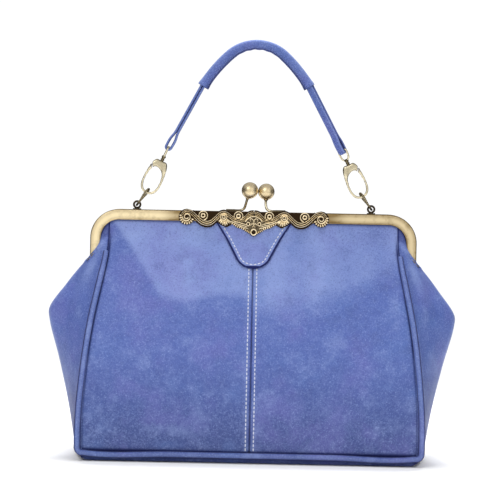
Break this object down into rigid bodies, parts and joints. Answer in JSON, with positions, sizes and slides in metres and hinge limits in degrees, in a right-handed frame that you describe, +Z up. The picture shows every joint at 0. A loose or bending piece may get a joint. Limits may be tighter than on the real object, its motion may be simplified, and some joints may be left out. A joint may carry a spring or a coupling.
{
  "type": "kiss lock frame purse",
  "caption": "Kiss lock frame purse: blue leather bag with creased gussets, hinged brass arch frame, ball clasp, filigree ornament and a short clip-on handle.",
  "frame": {"origin": "on the floor under the middle of the base", "axes": "+Z up, the front with the ornament faces -Y, +X to the right as seen from the front"},
  "size_m": [0.311, 0.1082, 0.3212],
  "materials": {
    "blue_leather": "waxed, softly mottled",
    "piping_leather": "waxed",
    "lining_cloth": "plain weave",
    "board": "matt",
    "paper_cord": "matt",
    "core_rope": "matt",
    "satin_brass": "satin, antiqued",
    "antique_brass": "antiqued",
    "bright_brass": "polished",
    "spring_steel": "bright"
  },
  "bodies": {
    "bag": {"front_panel_left": "blue_leather", "front_panel_right": "blue_leather", "rear_panel": "blue_leather", "left_gusset": "blue_leather", "right_gusset": "blue_leather", "base_panel": "blue_leather", "base_board": "board", "lining": "lining_cloth", "front_piping": "piping_leather", "rear_piping": "piping_leather", "front_panel_fold": "blue_leather", "rear_panel_fold": "blue_leather", "left_gusset_fold": "blue_leather", "right_gusset_fold": "blue_leather"},
    "front_half": {"front_frame": "satin_brass", "front_channel_cord": "paper_cord", "front_clasp_stem": "bright_brass", "front_clasp_ball": "bright_brass", "ornament": "antique_brass", "ornament_rivets": "antique_brass", "front_panel_top": "blue_leather", "front_tab": "blue_leather"},
    "rear_half": {"rear_frame": "satin_brass", "rear_channel_cord": "paper_cord", "rear_clasp_stem": "bright_brass", "rear_clasp_ball": "bright_brass", "rear_panel_top": "blue_leather", "left_hinge_rivet": "bright_brass", "right_hinge_rivet": "bright_brass", "left_post": "bright_brass", "right_post": "bright_brass"},
    "left_link": {"left_link": "bright_brass"},
    "right_link": {"right_link": "bright_brass"},
    "handle": {"left_swivel_loop": "bright_brass", "right_swivel_loop": "bright_brass", "left_strap": "blue_leather", "right_strap": "blue_leather", "grip_sleeve": "blue_leather", "grip_core": "core_rope"},
    "left_hook": {"left_hook": "bright_brass", "left_gate_pin": "spring_steel", "left_gate_spring": "spring_steel"},
    "right_hook": {"right_hook": "bright_brass", "right_gate_pin": "spring_steel", "right_gate_spring": "spring_steel"},
    "left_gate": {"left_gate": "bright_brass"},
    "right_gate": {"right_gate": "bright_brass"}
  },
  "joints": [
    {"name": "front_half_hinge", "type": "hinge", "parent": "bag", "child": "front_half", "pos_m": [0, 0, 0.148], "axis": [1, 0, 0], "range_deg": [0, 45], "deforming": ["front_panel_fold", "rear_panel_fold", "left_gusset_fold", "right_gusset_fold", "front_piping", "rear_piping"]},
    {"name": "rear_half_hinge", "type": "hinge", "parent": "bag", "child": "rear_half", "pos_m": [0, 0, 0.148], "axis": [1, 0, 0], "range_deg": [-45, 0]},
    {"name": "left_link_swing", "type": "hinge", "parent": "rear_half", "child": "left_link", "pos_m": [-0.08853, 0.0036, 0.19412], "axis": [1, 0, 0], "range_deg": [-50, 50]},
    {"name": "right_link_swing", "type": "hinge", "parent": "rear_half", "child": "right_link", "pos_m": [0.08853, 0.0036, 0.19412], "axis": [1, 0, 0], "range_deg": [-50, 50]},
    {"name": "handle_fold", "type": "hinge", "parent": "left_link", "child": "handle", "pos_m": [-0.083, 0.0036, 0.20173], "axis": [1, 0, 0], "range_deg": [-55, 55]},
    {"name": "left_hook_swivel", "type": "hinge", "parent": "handle", "child": "left_hook", "pos_m": [-0.08343, 0.0036, 0.20082], "axis": [0.4226, 0, 0.9063], "range_deg": [-10, 10]},
    {"name": "right_hook_swivel", "type": "hinge", "parent": "handle", "child": "right_hook", "pos_m": [0.08343, 0.0036, 0.20082], "axis": [-0.4226, 0, 0.9063], "range_deg": [-10, 10]},
    {"name": "left_gate_pivot", "type": "hinge", "parent": "left_hook", "child": "left_gate", "pos_m": [-0.07892, 0.0036, 0.2231], "axis": [0, -1, 0], "range_deg": [0, 20], "stiffness_Nm_per_rad": 0.01, "springref_deg": -5.73},
    {"name": "right_gate_pivot", "type": "hinge", "parent": "right_hook", "child": "right_gate", "pos_m": [0.07892, 0.0036, 0.2231], "axis": [0, 1, 0], "range_deg": [0, 20], "stiffness_Nm_per_rad": 0.01, "springref_deg": -5.73}
  ],
  "couplings": [
    {"joint": "rear_half_hinge", "follows": "front_half_hinge", "ratio": -1},
    {"joint": "right_link_swing", "follows": "left_link_swing", "ratio": 1}
  ]
}
